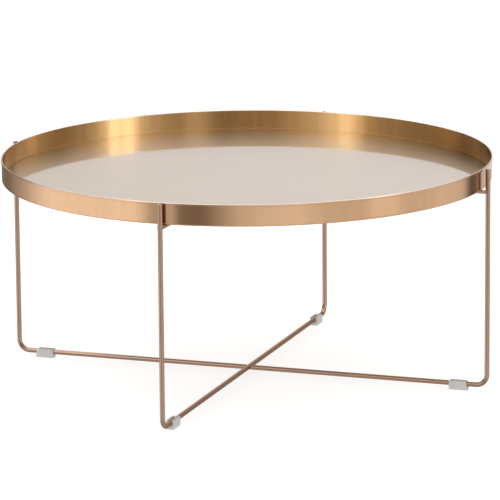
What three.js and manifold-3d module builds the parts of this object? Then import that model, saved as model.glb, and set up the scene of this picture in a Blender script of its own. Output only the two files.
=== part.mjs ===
// Round tray table: a shallow brushed metal tray that rests on two crossed U-shaped rod frames.
//
// Millimetres, +Z up. The origin is on the floor, under the middle of the tray.
// The lower leg frame runs left to right (along X), the upper one front to back (along Y).
// Each leg has an arm that carries the tray and a plastic glide that keeps the rod off the floor.

import * as THREE from 'three';
import { mergeVertices } from 'three/addons/utils/BufferGeometryUtils.js';
import Module from 'manifold-3d';

// ---- Fits ----

const FIT_GAP = 0.3;          // between two pieces that touch
const CUT_MARGIN = 1;         // how far a cutting tool runs past the face it cuts

// ---- Tray ----

const TRAY_RADIUS = 405;      // to the outside of the hem
const TRAY_DEPTH = 35.5;      // from the rim's underside to the top of the hem
const TRAY_UNDERSIDE = 335.5; // height of the rim's underside above the floor
const RIM_SHEET = 1.2;        // sheet of the rim's wall and flange
const RIM_BEND = 2.4;         // outside radius of the bend between wall and flange
const RIM_FLANGE = 12;        // width of the flange, from the wall's outside
const HEM_THICKNESS = 2.6;    // the wall's sheet folded over outwards
const HEM_HEIGHT = 3.6;
const FLOOR_SHEET = 1.2;
const FLOOR_EDGE_BEVEL = 0.3;

// ---- Leg frames ----

const ROD_DIAMETER = 8;
const ROD_TO_TRAY = 3;        // clear space between a leg and the tray's hem
const ROD_BEND_RADIUS = 18;   // on the rod's centre line
const ROD_END_CHAMFER = 0.8;
const LEG_BELOW_HEM = 1;      // how far a leg ends below the top of the hem

// ---- Screw that clamps the half-lap at the crossing ----

const SCREW_DIAMETER = 3;
const SCREW_HEAD_DIAMETER = 5.4;
const SCREW_HEAD_HEIGHT = 1.6;
const SCREW_HEAD_RECESS = 0.4;
const SCREW_BITE = 2.6;       // length in the upper rod, from the crossing's middle plane
const SCREW_SLOT_WIDTH = 0.8;
const SCREW_SLOT_DEPTH = 0.8;

// ---- Arms and their rubber pads ----

const ARM_WIDTH = 12;
const ARM_THICKNESS = 4;
const ARM_DROP = 1.5;         // from the rim's underside to the arm's top
const ARM_SADDLE = 2;         // from the leg's centre line to the arm's outer face
const ARM_BEVEL = 0.4;
const ARM_BEYOND_PAD = 9;     // from the pad's inner end to the arm's tip
const PAD_LENGTH = 24;
const PAD_WIDTH = 9;
const PAD_TO_FLANGE = 1.5;    // sideways clearance that the pads leave the rim's flange
const PAD_BEVEL = 0.4;

// ---- Floor glides ----

const GLIDE_LENGTH = 31;      // at the base
const GLIDE_SLANT = 2.5;      // how much shorter the top is, at the end towards the leg
const GLIDE_TO_LEG = 32;      // from the leg's centre line to the glide's base
const GLIDE_BASE = 5.4;       // plastic under the rod
const GLIDE_WALL = 2.5;       // plastic beside the rod
const GLIDE_LIP = 1;          // plastic above the rod
const GLIDE_MOUTH = 6;        // width of the open top that the rod snaps through
const GLIDE_BEVEL = 0.6;

// ---- Smoothness ----

const TRAY_SEGMENTS = 128;
const ROD_SEGMENTS = 24;
const ROD_BEND_STEPS = 12;
const SCREW_SEGMENTS = 24;
const SMALL_ARC_STEPS = 4;
const HEM_ARC_STEPS = 8;
const ROUND_END_STEPS = 12;

// ---- Sizes that follow from these ----

const QUARTER = Math.PI / 2;
const ROD_RADIUS = ROD_DIAMETER / 2;
const LEG_RADIUS = TRAY_RADIUS + ROD_TO_TRAY + ROD_RADIUS;
const RAIL_HEIGHT = GLIDE_BASE + FIT_GAP + ROD_RADIUS;
const TRAY_TOP = TRAY_UNDERSIDE + TRAY_DEPTH;
const LEG_TOP = TRAY_TOP - LEG_BELOW_HEM;
const WALL_INSIDE = TRAY_RADIUS - HEM_THICKNESS;
const WALL_OUTSIDE = WALL_INSIDE + RIM_SHEET;
const FLANGE_INSIDE = WALL_OUTSIDE - RIM_FLANGE;
const FLOOR_UNDERSIDE = TRAY_UNDERSIDE + RIM_SHEET + FIT_GAP;
const ARM_TOP = TRAY_UNDERSIDE - ARM_DROP;
const PAD_OUTER = FLANGE_INSIDE - PAD_TO_FLANGE;
const PAD_INNER = PAD_OUTER - PAD_LENGTH;
const ARM_TIP = PAD_INNER - ARM_BEYOND_PAD;

// ---- Materials ----

const metal = (color, roughness) => () => new THREE.MeshStandardMaterial({ color, roughness, metalness: 1 });
const soft = (color, roughness) => () => new THREE.MeshStandardMaterial({ color, roughness, metalness: 0 });

const brushedBrass = metal(0xd8a878, 0.32);
const satinBrass = metal(0xd9bfae, 0.22);
const copperRod = metal(0xb98f7a, 0.28);
const screwSteel = metal(0xb9b4ae, 0.4);
const blackRubber = soft(0x2b2a29, 0.9);
const frostedPlastic = soft(0xc4c3c1, 0.45);

// ---- Solid helpers ----

const wasm = await Module();
wasm.setup();

function toSolid(geometry) {
  const bare = geometry.clone();
  bare.deleteAttribute('normal');
  bare.deleteAttribute('uv');
  const merged = mergeVertices(bare);
  return new wasm.Manifold(new wasm.Mesh({
    numProp: 3,
    vertProperties: new Float32Array(merged.attributes.position.array),
    triVerts: new Uint32Array(merged.index.array),
  }));
}

function toGeometry(solid) {
  const mesh = solid.getMesh();
  const geometry = new THREE.BufferGeometry();
  geometry.setAttribute('position', new THREE.BufferAttribute(mesh.vertProperties, 3));
  geometry.setIndex(new THREE.BufferAttribute(mesh.triVerts, 1));
  geometry.computeVertexNormals();
  return geometry;
}

// Points of an arc, ends included. Angles are in radians, anticlockwise from the first axis.
function arcPoints(centreX, centreY, radius, from, to, steps) {
  const points = [];
  for (let step = 0; step <= steps; step += 1) {
    const angle = from + (to - from) * step / steps;
    points.push(new THREE.Vector2(centreX + radius * Math.cos(angle), centreY + radius * Math.sin(angle)));
  }
  return points;
}

// A solid of revolution about +Z from a profile of (radius, height) points.
function revolve(profile, segments) {
  const geometry = new THREE.LatheGeometry(profile, segments);
  geometry.rotateX(QUARTER);
  return geometry;
}

function uprightCylinder(radius, bottom, top, segments) {
  const geometry = new THREE.CylinderGeometry(radius, radius, top - bottom, segments);
  geometry.rotateX(QUARTER);
  geometry.translate(0, 0, (bottom + top) / 2);
  return geometry;
}

function cylinderAlongX(radius, from, to, height, segments) {
  const geometry = new THREE.CylinderGeometry(radius, radius, to - from, segments);
  geometry.rotateZ(QUARTER);
  geometry.translate((from + to) / 2, 0, height);
  return geometry;
}

function boxBetween(low, high) {
  const geometry = new THREE.BoxGeometry(high[0] - low[0], high[1] - low[1], high[2] - low[2]);
  geometry.translate((low[0] + high[0]) / 2, (low[1] + high[1]) / 2, (low[2] + high[2]) / 2);
  return geometry;
}

// A flat plate with this outline (X, Y), between two heights, with bevelled edges inside the outline.
function plate(outline, bottom, top, bevel) {
  const geometry = new THREE.ExtrudeGeometry(new THREE.Shape(outline), {
    depth: top - bottom - 2 * bevel,
    bevelEnabled: true,
    bevelThickness: bevel,
    bevelSize: bevel,
    bevelOffset: -bevel,
    bevelSegments: 2,
  });
  geometry.translate(0, 0, bottom + bevel);
  return geometry;
}

function named(name, geometry, material) {
  const mesh = new THREE.Mesh(geometry, material());
  mesh.name = name;
  return mesh;
}

// ---- Tray ----

// The rim: an upright wall, a flange turned inwards at the bottom and a hem folded over at the top.
function trayRim() {
  const bendCentre = WALL_OUTSIDE - RIM_BEND;
  const hemRadius = HEM_THICKNESS / 2;
  const hemBottom = TRAY_DEPTH - HEM_HEIGHT;
  const foldEase = (HEM_THICKNESS - RIM_SHEET) / 2;
  const profile = [
    new THREE.Vector2(FLANGE_INSIDE, 0),
    ...arcPoints(bendCentre, RIM_BEND, RIM_BEND, -QUARTER, 0, SMALL_ARC_STEPS),
    new THREE.Vector2(WALL_OUTSIDE, hemBottom),
    new THREE.Vector2(WALL_OUTSIDE + foldEase, hemBottom),
    new THREE.Vector2(TRAY_RADIUS, hemBottom + foldEase),
    ...arcPoints(TRAY_RADIUS - hemRadius, TRAY_DEPTH - hemRadius, hemRadius, 0, Math.PI, HEM_ARC_STEPS),
    ...arcPoints(bendCentre, RIM_BEND, RIM_BEND - RIM_SHEET, 0, -QUARTER, SMALL_ARC_STEPS),
    new THREE.Vector2(FLANGE_INSIDE, RIM_SHEET),
    new THREE.Vector2(FLANGE_INSIDE, 0),
  ];
  const rim = named('tray_rim', revolve(profile, TRAY_SEGMENTS), brushedBrass);
  rim.position.z = TRAY_UNDERSIDE;
  return rim;
}

// The floor: a round sheet that lies on the flange and stops short of the bend's inside.
function trayFloor() {
  const bendInside = RIM_BEND - RIM_SHEET;
  const bendAtFloor = Math.max(bendInside - FIT_GAP, 0);
  const reachInBend = Math.sqrt(bendInside ** 2 - bendAtFloor ** 2);
  const radius = WALL_OUTSIDE - RIM_BEND + reachInBend - FIT_GAP;
  const profile = [
    new THREE.Vector2(0, 0),
    new THREE.Vector2(radius - FLOOR_EDGE_BEVEL, 0),
    new THREE.Vector2(radius, FLOOR_EDGE_BEVEL),
    new THREE.Vector2(radius, FLOOR_SHEET - FLOOR_EDGE_BEVEL),
    new THREE.Vector2(radius - FLOOR_EDGE_BEVEL, FLOOR_SHEET),
    new THREE.Vector2(0, FLOOR_SHEET),
  ];
  const floor = named('tray_floor', revolve(profile, TRAY_SEGMENTS), satinBrass);
  floor.position.z = FLOOR_UNDERSIDE;
  return floor;
}

// ---- Leg frames ----

// A path through given stations, so that bends are finely divided and straight runs are not.
class StationPath extends THREE.Curve {
  constructor(stations) {
    super();
    this.stations = stations;
  }

  getPoint(t, target = new THREE.Vector3()) {
    const last = this.stations.length - 1;
    const index = Math.min(Math.floor(t * last), last - 1);
    return target.lerpVectors(this.stations[index], this.stations[index + 1], t * last - index);
  }

  getUtoTmapping(u) {
    return u;
  }
}

// The U-shaped rod in the XZ plane: down one leg, along the floor and up the other leg.
function bentRod() {
  const bendX = LEG_RADIUS - ROD_BEND_RADIUS;
  const bendZ = RAIL_HEIGHT + ROD_BEND_RADIUS;
  const route = [
    new THREE.Vector2(-LEG_RADIUS, LEG_TOP),
    ...arcPoints(-bendX, bendZ, ROD_BEND_RADIUS, Math.PI, 3 * QUARTER, ROD_BEND_STEPS),
    ...arcPoints(bendX, bendZ, ROD_BEND_RADIUS, 3 * QUARTER, 4 * QUARTER, ROD_BEND_STEPS),
    new THREE.Vector2(LEG_RADIUS, LEG_TOP),
  ];
  const stations = route.map((point) => new THREE.Vector3(point.x, 0, point.y));
  const section = new THREE.Shape(arcPoints(0, 0, ROD_RADIUS, 0, 4 * QUARTER, ROD_SEGMENTS).slice(0, -1));
  return new THREE.ExtrudeGeometry(section, {
    steps: stations.length - 1,
    extrudePath: new StationPath(stations),
  });
}

// A ring that takes the sharp edge off the top of an upright rod at x.
function endChamfer(x) {
  const outside = ROD_RADIUS + CUT_MARGIN;
  const profile = [
    new THREE.Vector2(outside, LEG_TOP - ROD_END_CHAMFER - CUT_MARGIN),
    new THREE.Vector2(outside, LEG_TOP + CUT_MARGIN),
    new THREE.Vector2(ROD_RADIUS - ROD_END_CHAMFER - CUT_MARGIN, LEG_TOP + CUT_MARGIN),
    new THREE.Vector2(outside, LEG_TOP - ROD_END_CHAMFER - CUT_MARGIN),
  ];
  const ring = revolve(profile, ROD_SEGMENTS);
  ring.translate(x, 0, 0);
  return ring;
}

// The space that the crossing rod takes: one half of this rod's height, above or below its axis.
function halfLap(above) {
  const halfLength = ROD_RADIUS + FIT_GAP;
  const halfWidth = ROD_RADIUS + CUT_MARGIN;
  const face = RAIL_HEIGHT + (above ? -FIT_GAP : FIT_GAP) / 2;
  const far = face + (above ? 1 : -1) * (ROD_DIAMETER + CUT_MARGIN);
  return boxBetween(
    [-halfLength, -halfWidth, Math.min(face, far)],
    [halfLength, halfWidth, Math.max(face, far)],
  );
}

const SCREW_HEAD_BOTTOM = RAIL_HEIGHT - ROD_RADIUS + SCREW_HEAD_RECESS;
const SCREW_HEAD_TOP = SCREW_HEAD_BOTTOM + SCREW_HEAD_HEIGHT;
const SCREW_TIP = RAIL_HEIGHT + SCREW_BITE;

function screwHole() {
  const belowRod = RAIL_HEIGHT - ROD_RADIUS - CUT_MARGIN;
  const headSeat = SCREW_HEAD_TOP + FIT_GAP;
  const shankRadius = SCREW_DIAMETER / 2 + FIT_GAP;
  const headRadius = SCREW_HEAD_DIAMETER / 2 + FIT_GAP;
  const shank = toSolid(uprightCylinder(shankRadius, belowRod, SCREW_TIP + FIT_GAP, SCREW_SEGMENTS));
  return shank.add(toSolid(uprightCylinder(headRadius, belowRod, headSeat, SCREW_SEGMENTS)));
}

function legFrame(name, lapAbove) {
  const solid = toSolid(bentRod())
    .subtract(toSolid(endChamfer(-LEG_RADIUS)))
    .subtract(toSolid(endChamfer(LEG_RADIUS)))
    .subtract(toSolid(halfLap(lapAbove)))
    .subtract(screwHole());
  return named(name, toGeometry(solid), copperRod);
}

function crossingScrew() {
  const headRadius = SCREW_HEAD_DIAMETER / 2;
  const slotFloor = SCREW_HEAD_BOTTOM + SCREW_SLOT_DEPTH;
  const head = toSolid(uprightCylinder(headRadius, SCREW_HEAD_BOTTOM, SCREW_HEAD_TOP, SCREW_SEGMENTS));
  const shank = toSolid(uprightCylinder(SCREW_DIAMETER / 2, slotFloor, SCREW_TIP, SCREW_SEGMENTS));
  const slotReach = headRadius + CUT_MARGIN;
  const slot = toSolid(boxBetween(
    [-slotReach, -SCREW_SLOT_WIDTH / 2, SCREW_HEAD_BOTTOM - CUT_MARGIN],
    [slotReach, SCREW_SLOT_WIDTH / 2, slotFloor],
  ));
  return named('crossing_screw', toGeometry(head.add(shank).subtract(slot)), screwSteel);
}

// ---- Pieces that each leg has, drawn for the leg on +X ----

// A flat bar under the tray: its outer end is hollowed to fit the rod, its inner end is round.
function trayArm(side) {
  const saddleRadius = ROD_RADIUS + FIT_GAP;
  const outerX = LEG_RADIUS - ARM_SADDLE;
  const saddleAngle = Math.acos(ARM_SADDLE / saddleRadius);
  const halfWidth = ARM_WIDTH / 2;
  const tipCentre = ARM_TIP + halfWidth;
  const outline = [
    new THREE.Vector2(outerX, -halfWidth),
    ...arcPoints(LEG_RADIUS, 0, saddleRadius, Math.PI + saddleAngle, Math.PI - saddleAngle, ROUND_END_STEPS),
    new THREE.Vector2(outerX, halfWidth),
    ...arcPoints(tipCentre, 0, halfWidth, QUARTER, 3 * QUARTER, ROUND_END_STEPS),
  ];
  return named(`tray_arm_${side}`, plate(outline, ARM_TOP - ARM_THICKNESS, ARM_TOP, ARM_BEVEL), copperRod);
}

// A rubber pad with round ends, between the arm and the tray's floor, just inside the rim's flange.
function armPad(side) {
  const halfWidth = PAD_WIDTH / 2;
  const outline = [
    ...arcPoints(PAD_OUTER - halfWidth, 0, halfWidth, -QUARTER, QUARTER, ROUND_END_STEPS),
    ...arcPoints(PAD_INNER + halfWidth, 0, halfWidth, QUARTER, 3 * QUARTER, ROUND_END_STEPS),
  ];
  const low = ARM_TOP + FIT_GAP;
  const high = FLOOR_UNDERSIDE - FIT_GAP;
  return named(`arm_pad_${side}`, plate(outline, low, high, PAD_BEVEL), blackRubber);
}

// A plastic clip under the rail, open at the top, with its end towards the leg slanted.
function floorGlide(side) {
  const baseOuter = LEG_RADIUS - GLIDE_TO_LEG;
  const baseInner = baseOuter - GLIDE_LENGTH;
  const top = RAIL_HEIGHT + ROD_RADIUS + GLIDE_LIP;
  const width = 2 * (ROD_RADIUS + FIT_GAP + GLIDE_WALL);
  const outline = [
    new THREE.Vector2(baseInner, 0),
    new THREE.Vector2(baseOuter, 0),
    new THREE.Vector2(baseOuter - GLIDE_SLANT, top),
    new THREE.Vector2(baseInner, top),
  ];
  const block = plate(outline, -width / 2, width / 2, GLIDE_BEVEL);
  block.rotateX(QUARTER);
  const from = baseInner - CUT_MARGIN;
  const to = baseOuter + CUT_MARGIN;
  const channel = cylinderAlongX(ROD_RADIUS + FIT_GAP, from, to, RAIL_HEIGHT, ROD_SEGMENTS);
  const mouth = boxBetween([from, -GLIDE_MOUTH / 2, RAIL_HEIGHT], [to, GLIDE_MOUTH / 2, top + CUT_MARGIN]);
  const solid = toSolid(block).subtract(toSolid(channel)).subtract(toSolid(mouth));
  return named(`floor_glide_${side}`, toGeometry(solid), frostedPlastic);
}

// ---- Assembly ----

const table = new THREE.Group();
table.add(trayRim(), trayFloor());

table.add(legFrame('leg_frame_lower', true));
const upperFrame = legFrame('leg_frame_upper', false);
upperFrame.rotation.z = QUARTER;
table.add(upperFrame, crossingScrew());

['right', 'back', 'left', 'front'].forEach((side, quarterTurns) => {
  const leg = new THREE.Group();
  leg.rotation.z = quarterTurns * QUARTER;
  leg.add(trayArm(side), armPad(side), floorGlide(side));
  table.add(leg);
});

export default table;
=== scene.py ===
"""Looks of a round tray table: a brushed brass tray on two crossed copper-plated rod frames.

Metres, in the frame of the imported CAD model: +Z up, origin on the floor under the tray's middle.
Every place and size of a piece comes from the CAD nodes' boxes, apart from the few named below.
"""

import math

import bmesh
import bpy
from mathutils import Matrix, Vector


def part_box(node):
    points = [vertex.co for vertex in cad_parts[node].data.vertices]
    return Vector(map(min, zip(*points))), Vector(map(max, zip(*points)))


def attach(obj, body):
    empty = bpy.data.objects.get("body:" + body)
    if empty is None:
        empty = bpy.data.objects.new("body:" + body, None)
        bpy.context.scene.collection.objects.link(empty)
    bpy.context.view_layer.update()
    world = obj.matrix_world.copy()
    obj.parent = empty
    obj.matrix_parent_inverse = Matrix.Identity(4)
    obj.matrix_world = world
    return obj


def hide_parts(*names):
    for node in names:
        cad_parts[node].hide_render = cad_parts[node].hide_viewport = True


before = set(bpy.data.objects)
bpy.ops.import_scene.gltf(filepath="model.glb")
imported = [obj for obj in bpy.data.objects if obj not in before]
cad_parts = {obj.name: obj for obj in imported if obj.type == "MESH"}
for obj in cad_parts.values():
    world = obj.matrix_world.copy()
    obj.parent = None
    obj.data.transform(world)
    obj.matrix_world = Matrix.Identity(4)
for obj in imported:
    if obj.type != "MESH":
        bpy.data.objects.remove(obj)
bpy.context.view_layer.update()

MM = 0.001
QUARTER = math.pi / 2
SIDES = ("right", "back", "left", "front")  # the order of the quarter turns about +Z

# ---- Sizes from the leg frame's box ----

rod_low, rod_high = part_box("leg_frame_lower")
ROD_RADIUS = rod_high.y
LEG_RADIUS = rod_high.x - ROD_RADIUS  # from the table's axis to a leg's axis
RAIL_HEIGHT = rod_low.z + ROD_RADIUS  # of the rail's axis
LEG_TOP = rod_high.z

# ---- Sizes that a node's box doesn't hold, as in the CAD model ----

RIM_SHEET = 1.2 * MM
HEM_THICKNESS = 2.6 * MM
HEM_HEIGHT = 3.6 * MM
RIM_BEND = 2.4 * MM  # outside radius of the bend between wall and flange
RIM_FLANGE = 12 * MM
ROD_BEND_RADIUS = 18 * MM  # on the rod's axis
FIT_GAP = 0.3 * MM
ARM_SADDLE = 2 * MM  # from the leg's axis to the arm's outer face
GLIDE_SLANT = 2.5 * MM
GLIDE_MOUTH = 6 * MM

# ---- Rounding and welds, which belong to the looks ----

ROD_END_ROUND = 0.9 * MM
SHEET_EDGE_ROUND = 0.35 * MM
BAR_BEVEL = 0.5 * MM  # arms and pads
GLIDE_BEVEL = 0.9 * MM
CHANNEL_BEVEL = 0.3 * MM
WELD_BEAD = 1.1 * MM  # radius
WELD_SINK = 0.2  # how deep its axis lies in the bar, as a share of its radius
WELD_HALF_SPAN = 58  # degrees round the rod
WELD_RIPPLE = 0.10  # share of the radius
WELD_RIPPLE_TURN = 2.4  # radians of ripple from one step to the next
WELD_TAPER = 0.3  # the lower, the blunter its ends
TOOL_REACH = 2 * MM  # how far a cutting tool runs past a glide

# ---- Camera: the photograph's viewing angle ----

VIEW_AZIMUTH = 19.2  # degrees from -Y towards +X
CAMERA_DISTANCE = 6.2  # level distance from the tray's axis
CAMERA_HEIGHT = 1.5855
AIM_HEIGHT = 0.2095
AIM_ASIDE = 0.004  # to the camera's right of the tray's axis
CAMERA_ROLL = -0.45  # degrees: below 0 is clockwise, seen from behind the camera
LENS = 276  # millimetres on a 36 mm sensor
CLIP_END = 200

# ---- Studio ----

FLOOR_HALF = 40  # half of its side
FLOOR_WHITE = 0.5
FLOOR_GLOW = 0.70
WORLD_STRENGTH = 1.0
CARD_RADIUS = 12
CARD_SPLIT = 0.36  # height where the lower cards end and the upper ones begin
CARD_REACH = 7  # how far the cards go up and down from there
CEILING_LIGHT = 1.1
GROUND_LIGHT = 0.5

# Soft boxes and dark flags: brightness by angle in degrees from the camera's side, positive to its
# right. The levels were fitted to how bright the rim and its inner wall are, by angle, in the
# photograph. A Blender colour ramp holds no more than 32 of them.
LOWER_CARDS = (
    (-180, 0.40),
    (-166, 0.20),
    (-148, 0.17),
    (-128, 0.46),
    (-104, 1.04),
    (-62, 1.04),
    (-53, 0.84),
    (-43, 0.19),
    (-33.5, 0.62),
    (-32.5, 0.03),
    (-20, 0.08),
    (-4, 0.69),
    (12, 0.91),
    (60, 0.50),
    (100, 0.74),
    (115, 0.71),
    (120, 0.65),
    (126, 0.02),
    (134, 0.10),
    (139, 0.50),
    (160, 0.84),
    (180, 0.40),
)
UPPER_CARDS = (
    (-180, 0.80),
    (-168, 0.70),
    (-158, 0.11),
    (-144, 0.10),
    (-130, 0.03),
    (-70, 0.21),
    (-60, 0.35),
    (-52, 1.71),
    (-38, 0.74),
    (-28, 0.43),
    (-12, 0.10),
    (14, 0.02),
    (24, 0.53),
    (36, 0.19),
    (55.5, 0.75),
    (58, 2.20),
    (63.2, 2.60),
    (64.2, 1.04),
    (65.6, 1.02),
    (66.6, 2.60),
    (70.5, 2.57),
    (73, 0.91),
    (82, 0.38),
    (104, 0.11),
    (144, 0.48),
    (154, 0.03),
    (159, 0.56),
    (170, 1.10),
    (175, 0.80),
    (180, 0.80),
)
FLAG_TINT = (1.0, 0.86, 0.66)  # colour of the light from the darkest cards
SOFTBOX_TINT = (1.0, 1.0, 1.02)
FULL_WHITE = 0.8  # brightness from which a card's light has the soft boxes' tint

# ---- Colours: each pair is two close tones that a noise mixes ----

RIM_OUTSIDE_TONES = ((0.975, 0.62, 0.37), (0.885, 0.55, 0.315))
# Inside the wall the two tones lie far apart and run in upright bands: partly the brass and its
# brushing, partly painted streaks of reflected studio light. Their yellower cast is partly painted
# warm reflected light.
RIM_INSIDE_TONES_AND_STREAKS = ((1.0, 0.68, 0.34), (0.77, 0.48, 0.21))
# pale colour of a painted highlight along the hem's rounded top
RIM_CREST_HIGHLIGHT = (0.97, 0.80, 0.67)
SHEET_TONES = ((0.71, 0.53, 0.355), (0.67, 0.50, 0.33))
ROD_TONES = ((0.65, 0.445, 0.335), (0.57, 0.385, 0.285))
ARM_TONES = ((0.80, 0.60, 0.49), (0.72, 0.53, 0.42))
PLATE_GRAZING = (0.66, 0.56, 0.50, 1.0)  # tint of what the plating mirrors at a low angle
RIM_SIDE_SHADE = (0.16, 0.10, 0.075)  # painted shade on a rod's side that faces the rim, close beside it
GLIDE_TONES = ((0.52, 0.51, 0.50), (0.60, 0.59, 0.575))
RUBBER_TONES = ((0.016, 0.016, 0.016), (0.034, 0.033, 0.032))
STEEL_TONES = ((0.50, 0.49, 0.47), (0.60, 0.59, 0.57))
TONE_SPREAD = (-0.4, 1.4)  # stretches the noise, which keeps near its middle

# ---- Roughness: what a noise's lowest and highest values give ----

RIM_ROUGHNESS = (0.19, 0.27)
SHEET_ROUGHNESS = (0.28, 0.38)
SHEET_CLOUDING = (-0.03, 0.03)
ROD_ROUGHNESS = (0.29, 0.38)
ARM_ROUGHNESS = (0.52, 0.64)
RAIL_SMOOTHER = 0.14  # how much less rough the rails are than the uprights
GLIDE_ROUGHNESS = (0.36, 0.50)
RUBBER_ROUGHNESS = (0.75, 0.9)
STEEL_ROUGHNESS = (0.30, 0.45)
# how strong the painted highlight on the hem's top is, patch by patch
HIGHLIGHT_PATCHES = (0.8, 1.2)

# ---- Smoothness ----

TRAY_SEGMENTS = 512
ROD_SIDES = 40
BEND_STEPS = 24
ROD_END_STEPS = 4
ROUND_END_STEPS = 16
SADDLE_STEPS = 14
WELD_SIDES = 14
WELD_STEPS = 26
CHANNEL_SIDES = 32
CARD_SEGMENTS = 180
WALL_LOOPS = (0.04, 0.25, 0.5, 0.75, 0.96)  # shares of the way up the rim's wall
SHEET_LOOPS = (0.985, 0.9, 0.7, 0.45, 0.2)  # shares of the sheet's radius
SHARP_DEGREES = 32  # an edge that turns more than this is left sharp
BEVEL_DEGREES = 40  # an edge that turns more than this is rounded after a cut
LEVEL_TOLERANCE = 1e-7


# ---------------------------------------------------------------- mesh helpers


def arc_points(centre, radius, start, end, steps):
    """Points of an arc in a plane, ends included. Angles are in radians."""
    points = []
    for step in range(steps + 1):
        angle = start + (end - start) * step / steps
        points.append((centre[0] + radius * math.cos(angle), centre[1] + radius * math.sin(angle)))
    return points


def smooth_by_angle(mesh):
    """Smooth faces, with sharp edges where the surface turns a corner."""
    mesh.polygons.foreach_set("use_smooth", [True] * len(mesh.polygons))
    mesh.set_sharp_from_angle(angle=math.radians(SHARP_DEGREES))
    mesh.update()


def finish_mesh(name, bm):
    """Turns a bmesh into an object in the scene."""
    bmesh.ops.recalc_face_normals(bm, faces=bm.faces)
    mesh = bpy.data.meshes.new(name)
    bm.to_mesh(mesh)
    bm.free()
    smooth_by_angle(mesh)
    piece = bpy.data.objects.new(name, mesh)
    bpy.context.scene.collection.objects.link(piece)
    return piece


def revolve(name, profile, segments, closed=True):
    """A piece turned about the Z axis from (radius, height) points. Radius 0 is one point."""
    bm = bmesh.new()
    rings = []
    for radius, height in profile:
        if radius == 0:
            rings.append([bm.verts.new((0, 0, height))] * segments)
            continue
        ring = []
        for k in range(segments):
            angle = 2 * math.pi * k / segments
            place = (radius * math.cos(angle), radius * math.sin(angle), height)
            ring.append(bm.verts.new(place))
        rings.append(ring)
    pairs = list(zip(rings, rings[1:]))
    if closed:
        pairs.append((rings[-1], rings[0]))
    for inner, outer in pairs:
        for k in range(segments):
            following = (k + 1) % segments
            corners = [inner[k], inner[following], outer[following], outer[k]]
            bm.faces.new(list(dict.fromkeys(corners)))
    return finish_mesh(name, bm)


def sweep(name, stations, sides, across):
    """A round bar through (point, direction, radius) stations; across is square to them all."""
    bm = bmesh.new()
    rings = []
    for point, direction, radius in stations:
        upward = across.cross(direction).normalized()
        ring = []
        for k in range(sides):
            angle = 2 * math.pi * k / sides
            sideways = across * (radius * math.cos(angle))
            ring.append(bm.verts.new(point + sideways + upward * (radius * math.sin(angle))))
        rings.append(ring)
    for first, second in zip(rings, rings[1:]):
        for k in range(sides):
            following = (k + 1) % sides
            bm.faces.new([first[k], first[following], second[following], second[k]])
    bm.faces.new(rings[0][::-1])
    bm.faces.new(rings[-1])
    return finish_mesh(name, bm)


def plate(name, outline, low, high, bevel):
    """A flat plate with this outline in XY, with rounded edges."""
    bm = bmesh.new()
    face = bm.faces.new([bm.verts.new((x, y, low)) for x, y in outline])
    grown = bmesh.ops.extrude_face_region(bm, geom=[face])
    top = [v for v in grown["geom"] if isinstance(v, bmesh.types.BMVert)]
    bmesh.ops.translate(bm, verts=top, vec=(0, 0, high - low))
    bmesh.ops.recalc_face_normals(bm, faces=bm.faces)
    rims = [e for e in bm.edges if abs(e.verts[0].co.z - e.verts[1].co.z) < LEVEL_TOLERANCE]
    bmesh.ops.bevel(bm, geom=rims, offset=bevel, segments=3, affect="EDGES", profile=0.5)
    return finish_mesh(name, bm)


def box_between(name, low, high):
    """A plain box between two corners, to cut with."""
    bm = bmesh.new()
    made = bmesh.ops.create_cube(bm, size=1)
    size = Vector(high) - Vector(low)
    middle = (Vector(high) + Vector(low)) / 2
    place = Matrix.Translation(middle) @ Matrix.Diagonal((*size, 1))
    bmesh.ops.transform(bm, matrix=place, verts=made["verts"])
    return finish_mesh(name, bm)


def cut(piece, tools, bevel=0.0):
    """Takes the tools' shapes out of the piece, then rounds the edges if a bevel is given."""
    for tool in tools:
        modifier = piece.modifiers.new("cut", "BOOLEAN")
        modifier.operation = "DIFFERENCE"
        modifier.solver = "EXACT"
        modifier.object = tool
    if bevel:
        modifier = piece.modifiers.new("edges", "BEVEL")
        modifier.width = bevel
        modifier.segments = 2
        modifier.limit_method = "ANGLE"
        modifier.angle_limit = math.radians(BEVEL_DEGREES)
    bpy.context.view_layer.update()
    evaluated = piece.evaluated_get(bpy.context.evaluated_depsgraph_get())
    mesh = bpy.data.meshes.new_from_object(evaluated)
    piece.modifiers.clear()
    piece.data = mesh
    smooth_by_angle(mesh)
    for tool in tools:
        bpy.data.objects.remove(tool)
    return piece


def turned(piece, quarter_turns):
    """Turns a piece's mesh about the table's axis, from the right-hand side to another."""
    piece.data.transform(Matrix.Rotation(quarter_turns * QUARTER, 4, "Z"))
    return piece


def finished(piece, material, body, *nodes):
    """Gives a piece its material, its body and the CAD nodes that it stands for."""
    piece.data.materials.clear()
    piece.data.materials.append(material)
    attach(piece, body)
    if nodes:
        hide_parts(*nodes)
    return piece


# ---------------------------------------------------------------- node helpers


def empty_material(name):
    material = bpy.data.materials.new(name)
    material.use_nodes = True
    material.node_tree.nodes.clear()
    return material


def add(tree, kind, inputs=(), **settings):
    """Adds a node, sets its settings, and sets or links its inputs."""
    node = tree.nodes.new(kind)
    for key, value in settings.items():
        setattr(node, key, value)
    for key, value in dict(inputs).items():
        if isinstance(value, bpy.types.NodeSocket):
            tree.links.new(value, node.inputs[key])
        else:
            node.inputs[key].default_value = value
    return node


def math_node(tree, operation, *values, **settings):
    inputs = dict(enumerate(values))
    return add(tree, "ShaderNodeMath", inputs, operation=operation, **settings).outputs[0]


def vector_node(tree, operation, *values):
    return add(tree, "ShaderNodeVectorMath", dict(enumerate(values)), operation=operation)


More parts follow.
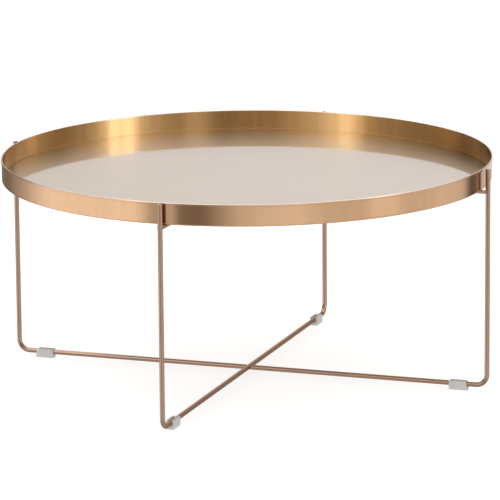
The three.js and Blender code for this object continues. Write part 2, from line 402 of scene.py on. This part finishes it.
def noise(tree, vector, scale=1.0, detail=3.0, roughness=0.55):
    inputs = {"Vector": vector, "Scale": scale, "Detail": detail, "Roughness": roughness}
    return add(tree, "ShaderNodeTexNoise", inputs).outputs["Fac"]


def between(tree, factor, low, high):
    """From low where the factor is 0 to high where it is 1."""
    inputs = {"Value": factor, "To Min": low, "To Max": high}
    return add(tree, "ShaderNodeMapRange", inputs).outputs["Result"]


def share_of_way(tree, value, start, end):
    """From 0 where the value is at start to 1 where it is at end, and no further."""
    inputs = {"Value": value, "From Min": start, "From Max": end}
    return add(tree, "ShaderNodeMapRange", inputs).outputs["Result"]


def blend_colours(tree, factor, first, second):
    """Blends two colours, each a socket or a red, green and blue."""
    node = add(tree, "ShaderNodeMix", {"Factor": factor}, data_type="RGBA")
    for identifier, colour in (("A_Color", first), ("B_Color", second)):
        socket = next(s for s in node.inputs if s.identifier == identifier)
        if isinstance(colour, bpy.types.NodeSocket):
            tree.links.new(colour, socket)
        else:
            socket.default_value = (*colour, 1)
    return next(s for s in node.outputs if s.identifier == "Result_Color")


def two_tones(tree, factor, tones):
    return blend_colours(tree, between(tree, factor, *TONE_SPREAD), *tones)


def position(tree):
    return add(tree, "ShaderNodeTexCoord").outputs["Object"]


def position_parts(tree):
    """The position's X, Y and Z."""
    return add(tree, "ShaderNodeSeparateXYZ", {0: position(tree)}).outputs


def axis_distance(tree):
    """How far a point lies from the Z axis."""
    flat = vector_node(tree, "MULTIPLY", position(tree), (1, 1, 0)).outputs[0]
    return vector_node(tree, "LENGTH", flat).outputs["Value"]


def crest_highlight_mask(tree, low, depth):
    """From 0 at this height to 1 a little above it, in patches: where a painted highlight lies
    along a top edge.
    """
    rise = share_of_way(tree, position_parts(tree)[2], low, low + depth)
    patchy = between(tree, noise(tree, position(tree), scale=35.0), *HIGHLIGHT_PATCHES)
    return math_node(tree, "MULTIPLY", rise, patchy, use_clamp=True)


def round_lines(tree, along, across):
    """Coordinates for lines round the Z axis, scaled along the lines and across them."""
    x, y, z = position_parts(tree)
    rise = math_node(tree, "ADD", z, axis_distance(tree))
    inputs = {
        0: math_node(tree, "MULTIPLY", x, along),
        1: math_node(tree, "MULTIPLY", y, along),
        2: math_node(tree, "MULTIPLY", rise, across),
    }
    return add(tree, "ShaderNodeCombineXYZ", inputs).outputs[0]


def straight_lines(tree, along, across, angle):
    """Coordinates for lines in the XY plane at this angle from +X, scaled in the same way."""
    inputs = {"Vector": position(tree), "Angle": -angle}
    turned_back = add(tree, "ShaderNodeVectorRotate", inputs, rotation_type="Z_AXIS").outputs[0]
    return vector_node(tree, "MULTIPLY", turned_back, (along, across, across)).outputs[0]


def bump(tree, height, strength, distance, under=None):
    """The normal over a height, on top of another bump's normal if one is given."""
    inputs = {"Height": height, "Strength": strength, "Distance": distance}
    if under is not None:
        inputs["Normal"] = under
    return add(tree, "ShaderNodeBump", inputs).outputs["Normal"]


def surface(material, shader_inputs, normal):
    """Ends a material in a Principled shader with these inputs."""
    tree = material.node_tree
    shader = add(tree, "ShaderNodeBsdfPrincipled", {**shader_inputs, "Normal": normal})
    add(tree, "ShaderNodeOutputMaterial", {"Surface": shader.outputs[0]})
    return material


# ---------------------------------------------------------------- materials


def rim_brass():
    """Rose-toned brass, brushed round the rim and lacquered: its highlights stand upright."""
    material = empty_material("brushed_brass_rim")
    tree = material.node_tree
    fine = noise(tree, round_lines(tree, along=14, across=2600))
    bands = noise(tree, round_lines(tree, along=70, across=0), detail=6.0, roughness=0.72)
    outside = two_tones(tree, bands, RIM_OUTSIDE_TONES)
    # inside: the brass tone, with painted streaks and painted warmth of reflected light mixed in
    inside = two_tones(tree, bands, RIM_INSIDE_TONES_AND_STREAKS)
    half_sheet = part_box("tray_rim")[1].x - HEM_THICKNESS + RIM_SHEET / 2
    within = share_of_way(tree, axis_distance(tree), half_sheet, half_sheet - RIM_SHEET / 4)
    metal = blend_colours(tree, within, outside, inside)
    # painted highlight along the top of the hem
    painted_crest = crest_highlight_mask(tree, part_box("tray_rim")[1].z - HEM_THICKNESS, HEM_THICKNESS)
    tangent = add(tree, "ShaderNodeTangent", direction_type="RADIAL", axis="Z").outputs[0]
    inputs = {
        "Base Color": blend_colours(tree, painted_crest, metal, RIM_CREST_HIGHLIGHT),
        "Metallic": 1.0,
        "Roughness": between(tree, fine, *RIM_ROUGHNESS),
        "Anisotropic": 0.95,
        "Anisotropic Rotation": 0.25,
        "Tangent": tangent,
        "Coat Weight": 0.2,
        "Coat Roughness": 0.08,
    }
    waves = bump(tree, bands, strength=0.5, distance=0.05 * MM)
    return surface(material, inputs, bump(tree, fine, 0.10, 0.02 * MM, under=waves))


def floor_brass():
    """The tray's sheet: the same metal under a thicker lacquer, with straight satin brushing."""
    material = empty_material("satin_brass_floor")
    tree = material.node_tree
    angle = math.radians(VIEW_AZIMUTH)
    fine = noise(tree, straight_lines(tree, along=12, across=2200, angle=angle))
    soft = noise(tree, straight_lines(tree, along=2, across=60, angle=angle), detail=2.0)
    cloud = noise(tree, position(tree), scale=6.0, detail=2.0)
    brushing = between(tree, fine, *SHEET_ROUGHNESS)
    inputs = {
        "Base Color": two_tones(tree, soft, SHEET_TONES),
        "Metallic": 1.0,
        "Roughness": math_node(tree, "ADD", brushing, between(tree, cloud, *SHEET_CLOUDING)),
        "Coat Weight": 1.0,
        "Coat Roughness": 0.05,
        "Coat IOR": 2.2,
    }
    return surface(material, inputs, bump(tree, fine, strength=0.08, distance=0.02 * MM))


def copper_plate(name, tones, grain_range):
    """Copper plate with a faint grain, smoother low down, and darkened by painted shade on the
    side that faces the tray's rim, close beside it.
    """
    material = empty_material(name)
    tree = material.node_tree
    grain = noise(tree, position(tree), scale=900.0)
    plating = two_tones(tree, noise(tree, position(tree), scale=18.0), tones)
    height = position_parts(tree)[2]
    upright = share_of_way(tree, height, ROD_BEND_RADIUS, 2 * ROD_BEND_RADIUS)
    smoother = between(tree, upright, -RAIL_SMOOTHER, 0.0)
    beside_tray = math_node(tree, "GREATER_THAN", height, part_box("tray_rim")[0].z)
    rod_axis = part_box("leg_frame_lower")[1].x - ROD_RADIUS
    inward = share_of_way(tree, axis_distance(tree), rod_axis, rod_axis - ROD_RADIUS / 2)
    # painted shade: the rod's side towards the table's axis, beside the rim, is darkened
    painted_rim_shade = math_node(tree, "MULTIPLY", beside_tray, inward)
    inputs = {
        "Base Color": blend_colours(tree, painted_rim_shade, plating, RIM_SIDE_SHADE),
        "Metallic": 1.0,
        "Roughness": math_node(tree, "ADD", between(tree, grain, *grain_range), smoother),
        "Specular Tint": PLATE_GRAZING,
    }
    return surface(material, inputs, bump(tree, grain, strength=0.06, distance=0.03 * MM))


def glide_plastic():
    """Frosted plastic that lets a little light in."""
    material = empty_material("frosted_plastic_glide")
    tree = material.node_tree
    cloud = noise(tree, position(tree), scale=220.0)
    grain = noise(tree, position(tree), scale=2500.0, detail=2.0)
    inputs = {
        "Base Color": two_tones(tree, cloud, GLIDE_TONES),
        "Roughness": between(tree, grain, *GLIDE_ROUGHNESS),
        "Subsurface Weight": 0.25,
        "Subsurface Radius": (1.0, 0.95, 0.9),
        "Subsurface Scale": 2 * MM,
        "Coat Weight": 0.15,
        "Coat Roughness": 0.25,
    }
    return surface(material, inputs, bump(tree, grain, strength=0.15, distance=0.03 * MM))


def pad_rubber():
    material = empty_material("black_rubber_pad")
    tree = material.node_tree
    grain = noise(tree, position(tree), scale=1800.0, detail=4.0)
    inputs = {
        "Base Color": two_tones(tree, grain, RUBBER_TONES),
        "Roughness": between(tree, grain, *RUBBER_ROUGHNESS),
    }
    return surface(material, inputs, bump(tree, grain, strength=0.4, distance=0.1 * MM))


def screw_metal():
    material = empty_material("plain_steel_screw")
    tree = material.node_tree
    grain = noise(tree, round_lines(tree, along=300, across=9000))
    inputs = {
        "Base Color": two_tones(tree, grain, STEEL_TONES),
        "Metallic": 1.0,
        "Roughness": between(tree, grain, *STEEL_ROUGHNESS),
    }
    return surface(material, inputs, bump(tree, grain, strength=0.1, distance=0.02 * MM))


# ---------------------------------------------------------------- tray


def tray_rim(material):
    """The upright band: flange and bend at the bottom, hem folded outwards at the top."""
    low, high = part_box("tray_rim")
    outside = high.x
    bottom, top = low.z, high.z
    wall_inside = outside - HEM_THICKNESS
    wall_outside = wall_inside + RIM_SHEET
    bend = (wall_outside - RIM_BEND, bottom + RIM_BEND)
    hem_radius = HEM_THICKNESS / 2
    hem_bottom = top - HEM_HEIGHT
    fold_radius = (outside - wall_outside) / 2
    fold_centre = (wall_outside + fold_radius, hem_bottom + fold_radius)
    flange_inside = wall_outside - RIM_FLANGE
    hem_centre = (outside - hem_radius, top - hem_radius)
    rise = hem_bottom - bend[1]
    fall = hem_centre[1] - bend[1]
    profile = [(flange_inside, bottom)]
    profile += arc_points(bend, RIM_BEND, -QUARTER, 0, steps=8)
    profile += [(wall_outside, bend[1] + rise * share) for share in (*WALL_LOOPS, 1)]
    profile += arc_points(fold_centre, fold_radius, -QUARTER, 0, steps=4)
    profile += arc_points(hem_centre, hem_radius, 0, math.pi, steps=14)
    profile += [(wall_inside, bend[1] + fall * share) for share in reversed(WALL_LOOPS)]
    profile += arc_points(bend, RIM_BEND - RIM_SHEET, 0, -QUARTER, steps=6)
    profile += [(flange_inside, bottom + RIM_SHEET)]
    piece = revolve("tray_rim_brushed", profile, TRAY_SEGMENTS)
    return finished(piece, material, "tray", "tray_rim")


def tray_floor(material):
    """The round sheet, with a rounded edge."""
    low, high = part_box("tray_floor")
    radius, bottom, top = high.x, low.z, high.z
    ease = SHEET_EDGE_ROUND
    profile = [(0, bottom), (radius - ease, bottom)]
    profile += arc_points((radius - ease, bottom + ease), ease, -QUARTER, 0, steps=3)[1:]
    profile += arc_points((radius - ease, top - ease), ease, 0, QUARTER, steps=3)
    profile += [(radius * share, top) for share in SHEET_LOOPS]
    profile += [(0, top)]
    piece = revolve("tray_floor_sheet", profile, TRAY_SEGMENTS, closed=False)
    return finished(piece, material, "tray", "tray_floor")


# ---------------------------------------------------------------- stand


def bent_rod(name):
    """One rod in the XZ plane: down a leg, round a bend, along the floor, and up again."""
    bend_x = LEG_RADIUS - ROD_BEND_RADIUS
    bend_z = RAIL_HEIGHT + ROD_BEND_RADIUS
    stations = []
    for step in range(ROD_END_STEPS + 1):
        angle = QUARTER * (1 - step / ROD_END_STEPS)
        radius = ROD_RADIUS - ROD_END_ROUND * (1 - math.cos(angle))
        drop = ROD_END_ROUND * (1 - math.sin(angle))
        stations.append((-LEG_RADIUS, LEG_TOP - drop, 0.0, -1.0, radius))
    for step in range(BEND_STEPS + 1):
        angle = math.pi + QUARTER * step / BEND_STEPS
        x = -bend_x + ROD_BEND_RADIUS * math.cos(angle)
        z = bend_z + ROD_BEND_RADIUS * math.sin(angle)
        stations.append((x, z, -math.sin(angle), math.cos(angle), ROD_RADIUS))
    path = []
    for x, z, along_x, along_z, radius in stations:
        path.append((Vector((x, 0, z)), Vector((along_x, 0, along_z)), radius))
    mirrored = []
    for point, along, radius in reversed(path):
        mirrored.append((Vector((-point.x, 0, point.z)), Vector((along.x, 0, -along.z)), radius))
    return sweep(name, path + mirrored, ROD_SIDES, Vector((0, 1, 0)))


def leg_frames(material):
    """Both rods, each with half its height taken out where the other crosses."""
    lap_gap = FIT_GAP / 3
    reach = ROD_RADIUS + lap_gap
    wide = ROD_RADIUS * 1.5  # past the rod on both sides
    middle = RAIL_HEIGHT
    lower = bent_rod("leg_rod_lower")
    tool = box_between("lap_tool", (-reach, -wide, middle), (reach, wide, middle + wide))
    finished(cut(lower, [tool]), material, "stand", "leg_frame_lower")
    upper = bent_rod("leg_rod_upper")
    lap_top = middle + lap_gap
    tool = box_between("lap_tool", (-reach, -wide, middle - wide), (reach, wide, lap_top))
    finished(turned(cut(upper, [tool]), 1), material, "stand", "leg_frame_upper")


def tray_arm(side, quarter_turns, material):
    """A flat bar whose outer end is hollowed to the rod and whose inner end is round."""
    low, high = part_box("tray_arm_right")
    half = high.y
    saddle = ROD_RADIUS + FIT_GAP
    half_opening = math.acos(ARM_SADDLE / saddle)
    start, end = math.pi + half_opening, math.pi - half_opening
    outline = [(high.x, -half)]
    outline += arc_points((LEG_RADIUS, 0), saddle, start, end, SADDLE_STEPS)
    outline += [(high.x, half)]
    outline += arc_points((low.x + half, 0), half, QUARTER, 3 * QUARTER, ROUND_END_STEPS)
    piece = plate(f"tray_arm_bar_{side}", outline, low.z, high.z, BAR_BEVEL)
    finished(turned(piece, quarter_turns), material, "stand", f"tray_arm_{side}")


def arm_welds(side, quarter_turns, material):
    """The two fillets of weld between an arm and its rod, above and below the bar."""
    low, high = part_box("tray_arm_right")
    sink = WELD_SINK * WELD_BEAD
    path_radius = ROD_RADIUS + FIT_GAP
    for place, height in (("top", high.z - sink), ("under", low.z + sink)):
        stations = []
        for step in range(WELD_STEPS + 1):
            angle = math.pi + math.radians(WELD_HALF_SPAN) * (2 * step / WELD_STEPS - 1)
            ripple = 1 + WELD_RIPPLE * math.sin(step * WELD_RIPPLE_TURN)
            taper = math.sin(math.pi * (step + 1) / (WELD_STEPS + 2)) ** WELD_TAPER
            x = LEG_RADIUS + path_radius * math.cos(angle)
            point = Vector((x, path_radius * math.sin(angle), height))
            direction = Vector((-math.sin(angle), math.cos(angle), 0))
            stations.append((point, direction, WELD_BEAD * ripple * taper))
        piece = sweep(f"arm_weld_{side}_{place}", stations, WELD_SIDES, Vector((0, 0, 1)))
        finished(turned(piece, quarter_turns), material, "stand")


def arm_pad(side, quarter_turns, material):
    """A flat strip with two round ends."""
    low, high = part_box("arm_pad_right")
    half = high.y
    outline = arc_points((high.x - half, 0), half, -QUARTER, QUARTER, ROUND_END_STEPS)
    outline += arc_points((low.x + half, 0), half, QUARTER, 3 * QUARTER, ROUND_END_STEPS)
    piece = plate(f"rubber_pad_{side}", outline, low.z, high.z, BAR_BEVEL)
    finished(turned(piece, quarter_turns), material, "stand", f"arm_pad_{side}")


def floor_glide(side, quarter_turns, material):
    """A moulded clip: a block with a slanted end, a channel for the rod and an open top."""
    low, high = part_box("floor_glide_right")
    half = high.y
    slanted_end = high.x - GLIDE_SLANT
    outline = [(low.x, low.z), (high.x, low.z), (slanted_end, high.z), (low.x, high.z)]
    piece = plate(f"glide_clip_{side}", outline, -half, half, GLIDE_BEVEL)
    piece.data.transform(Matrix.Rotation(QUARTER, 4, "X"))
    start, end = low.x - TOOL_REACH, high.x + TOOL_REACH
    along = Vector((1, 0, 0))
    channel_radius = ROD_RADIUS + FIT_GAP / 2
    stations = [(Vector((x, 0, RAIL_HEIGHT)), along, channel_radius) for x in (start, end)]
    channel = sweep("channel_tool", stations, CHANNEL_SIDES, Vector((0, 1, 0)))
    mouth_low = (start, -GLIDE_MOUTH / 2, RAIL_HEIGHT)
    mouth = box_between("mouth_tool", mouth_low, (end, GLIDE_MOUTH / 2, high.z + TOOL_REACH))
    cut(piece, [channel, mouth], bevel=CHANNEL_BEVEL)
    finished(turned(piece, quarter_turns), material, "stand", f"floor_glide_{side}")


# ---------------------------------------------------------------- studio


def level_direction(angle):
    """The level direction at this angle from the camera's side, positive to its right."""
    turn = math.radians(VIEW_AZIMUTH + angle)
    return Vector((math.sin(turn), -math.cos(turn), 0))


def card_colour(level, brightest):
    """The ramp's colour for this brightness: dark flags look warm, soft boxes white."""
    share = min(level / FULL_WHITE, 1)
    tint = [flag + (box - flag) * share for flag, box in zip(FLAG_TINT, SOFTBOX_TINT)]
    return (*(part * level / brightest for part in tint), 1)


def card_material(name, cards):
    """Light that changes with the angle round the table, as a ring of soft boxes and flags."""
    material = empty_material(name)
    tree = material.node_tree
    x, y, _ = position_parts(tree)
    angle = math_node(tree, "ARCTAN2", x, math_node(tree, "MULTIPLY", y, -1.0))
    share = math_node(tree, "MULTIPLY_ADD", angle, 1 / (2 * math.pi), 0.5)
    ramp = add(tree, "ShaderNodeValToRGB", {"Fac": share})
    stops = ramp.color_ramp.elements
    stops.remove(stops[-1])
    brightest = max(level for _, level in cards)
    for index, (degrees, level) in enumerate(cards):
        stop = stops[0] if index == 0 else stops.new((degrees + 180) / 360)
        stop.color = card_colour(level, brightest)
    inputs = {"Color": ramp.outputs["Color"], "Strength": brightest}
    glow = add(tree, "ShaderNodeEmission", inputs)
    add(tree, "ShaderNodeOutputMaterial", {"Surface": glow.outputs[0]})
    material.cycles.emission_sampling = "NONE"
    return material


def even_light(level):
    return ((-180, level), (180, level))


def reflection_card(name, profile, cards):
    """A ring or disc of light that only the table's shiny surfaces see."""
    card = revolve(name, profile, CARD_SEGMENTS, closed=False)
    card.data.materials.append(card_material(name, cards))
    card.rotation_euler.z = math.radians(VIEW_AZIMUTH)
    card.visible_camera = False
    card.visible_diffuse = False
    card.visible_shadow = False
    card.visible_transmission = False


def studio_floor():
    """A pale floor that also glows, so that it ends up close to white."""
    bm = bmesh.new()
    corners = ((-1, -1), (1, -1), (1, 1), (-1, 1))
    bm.faces.new([bm.verts.new((x * FLOOR_HALF, y * FLOOR_HALF, 0)) for x, y in corners])
    floor = finish_mesh("studio_floor", bm)
    floor.visible_glossy = False  # shiny surfaces see the lower cards instead
    material = empty_material("pale_floor")
    tree = material.node_tree
    white = (FLOOR_WHITE, FLOOR_WHITE, FLOOR_WHITE, 1)
    matt = add(tree, "ShaderNodeBsdfDiffuse", {"Color": white})
    glow = add(tree, "ShaderNodeEmission", {"Strength": FLOOR_GLOW})
    both = add(tree, "ShaderNodeAddShader", {0: matt.outputs[0], 1: glow.outputs[0]})
    add(tree, "ShaderNodeOutputMaterial", {"Surface": both.outputs[0]})
    material.cycles.emission_sampling = "NONE"
    floor.data.materials.append(material)


def studio():
    scene = bpy.context.scene
    scene.view_settings.view_transform = "Standard"
    world = bpy.data.worlds.new("studio_world")
    world.use_nodes = True
    background = world.node_tree.nodes["Background"]
    background.inputs["Color"].default_value = (1, 1, 1, 1)
    background.inputs["Strength"].default_value = WORLD_STRENGTH
    scene.world = world
    studio_floor()
    low = (CARD_RADIUS, CARD_SPLIT - CARD_REACH)
    split = (CARD_RADIUS, CARD_SPLIT)
    high = (CARD_RADIUS, CARD_SPLIT + CARD_REACH)
    reflection_card("ground_card", [(0, low[1]), low], even_light(GROUND_LIGHT))
    reflection_card("lower_cards", [low, split], LOWER_CARDS)
    reflection_card("upper_cards", [split, high], UPPER_CARDS)
    reflection_card("ceiling_card", [high, (0, high[1])], even_light(CEILING_LIGHT))


def camera():
    data = bpy.data.cameras.new("camera")
    data.lens = LENS
    data.clip_end = CLIP_END
    piece = bpy.data.objects.new("camera", data)
    bpy.context.scene.collection.objects.link(piece)
    place = level_direction(0) * CAMERA_DISTANCE + Vector((0, 0, CAMERA_HEIGHT))
    aim = level_direction(90) * AIM_ASIDE + Vector((0, 0, AIM_HEIGHT)) - place
    piece.rotation_mode = "QUATERNION"
    level = aim.to_track_quat("-Z", "Y")
    roll = Matrix.Rotation(math.radians(CAMERA_ROLL), 4, "Z").to_quaternion()
    piece.rotation_quaternion = level @ roll
    piece.location = place
    bpy.context.scene.camera = piece


# ---------------------------------------------------------------- build

camera()
studio()

brass = rim_brass()
sheet_brass = floor_brass()
copper = copper_plate("copper_plated_rod", ROD_TONES, ROD_ROUGHNESS)
dull_copper = copper_plate("copper_plated_arm", ARM_TONES, ARM_ROUGHNESS)
rubber = pad_rubber()
plastic = glide_plastic()

tray_rim(brass)
tray_floor(sheet_brass)
leg_frames(copper)
for turns, side_name in enumerate(SIDES):
    tray_arm(side_name, turns, dull_copper)
    arm_welds(side_name, turns, dull_copper)
    arm_pad(side_name, turns, rubber)
    floor_glide(side_name, turns, plastic)

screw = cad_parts["crossing_screw"]
screw.data.materials.clear()
screw.data.materials.append(screw_metal())
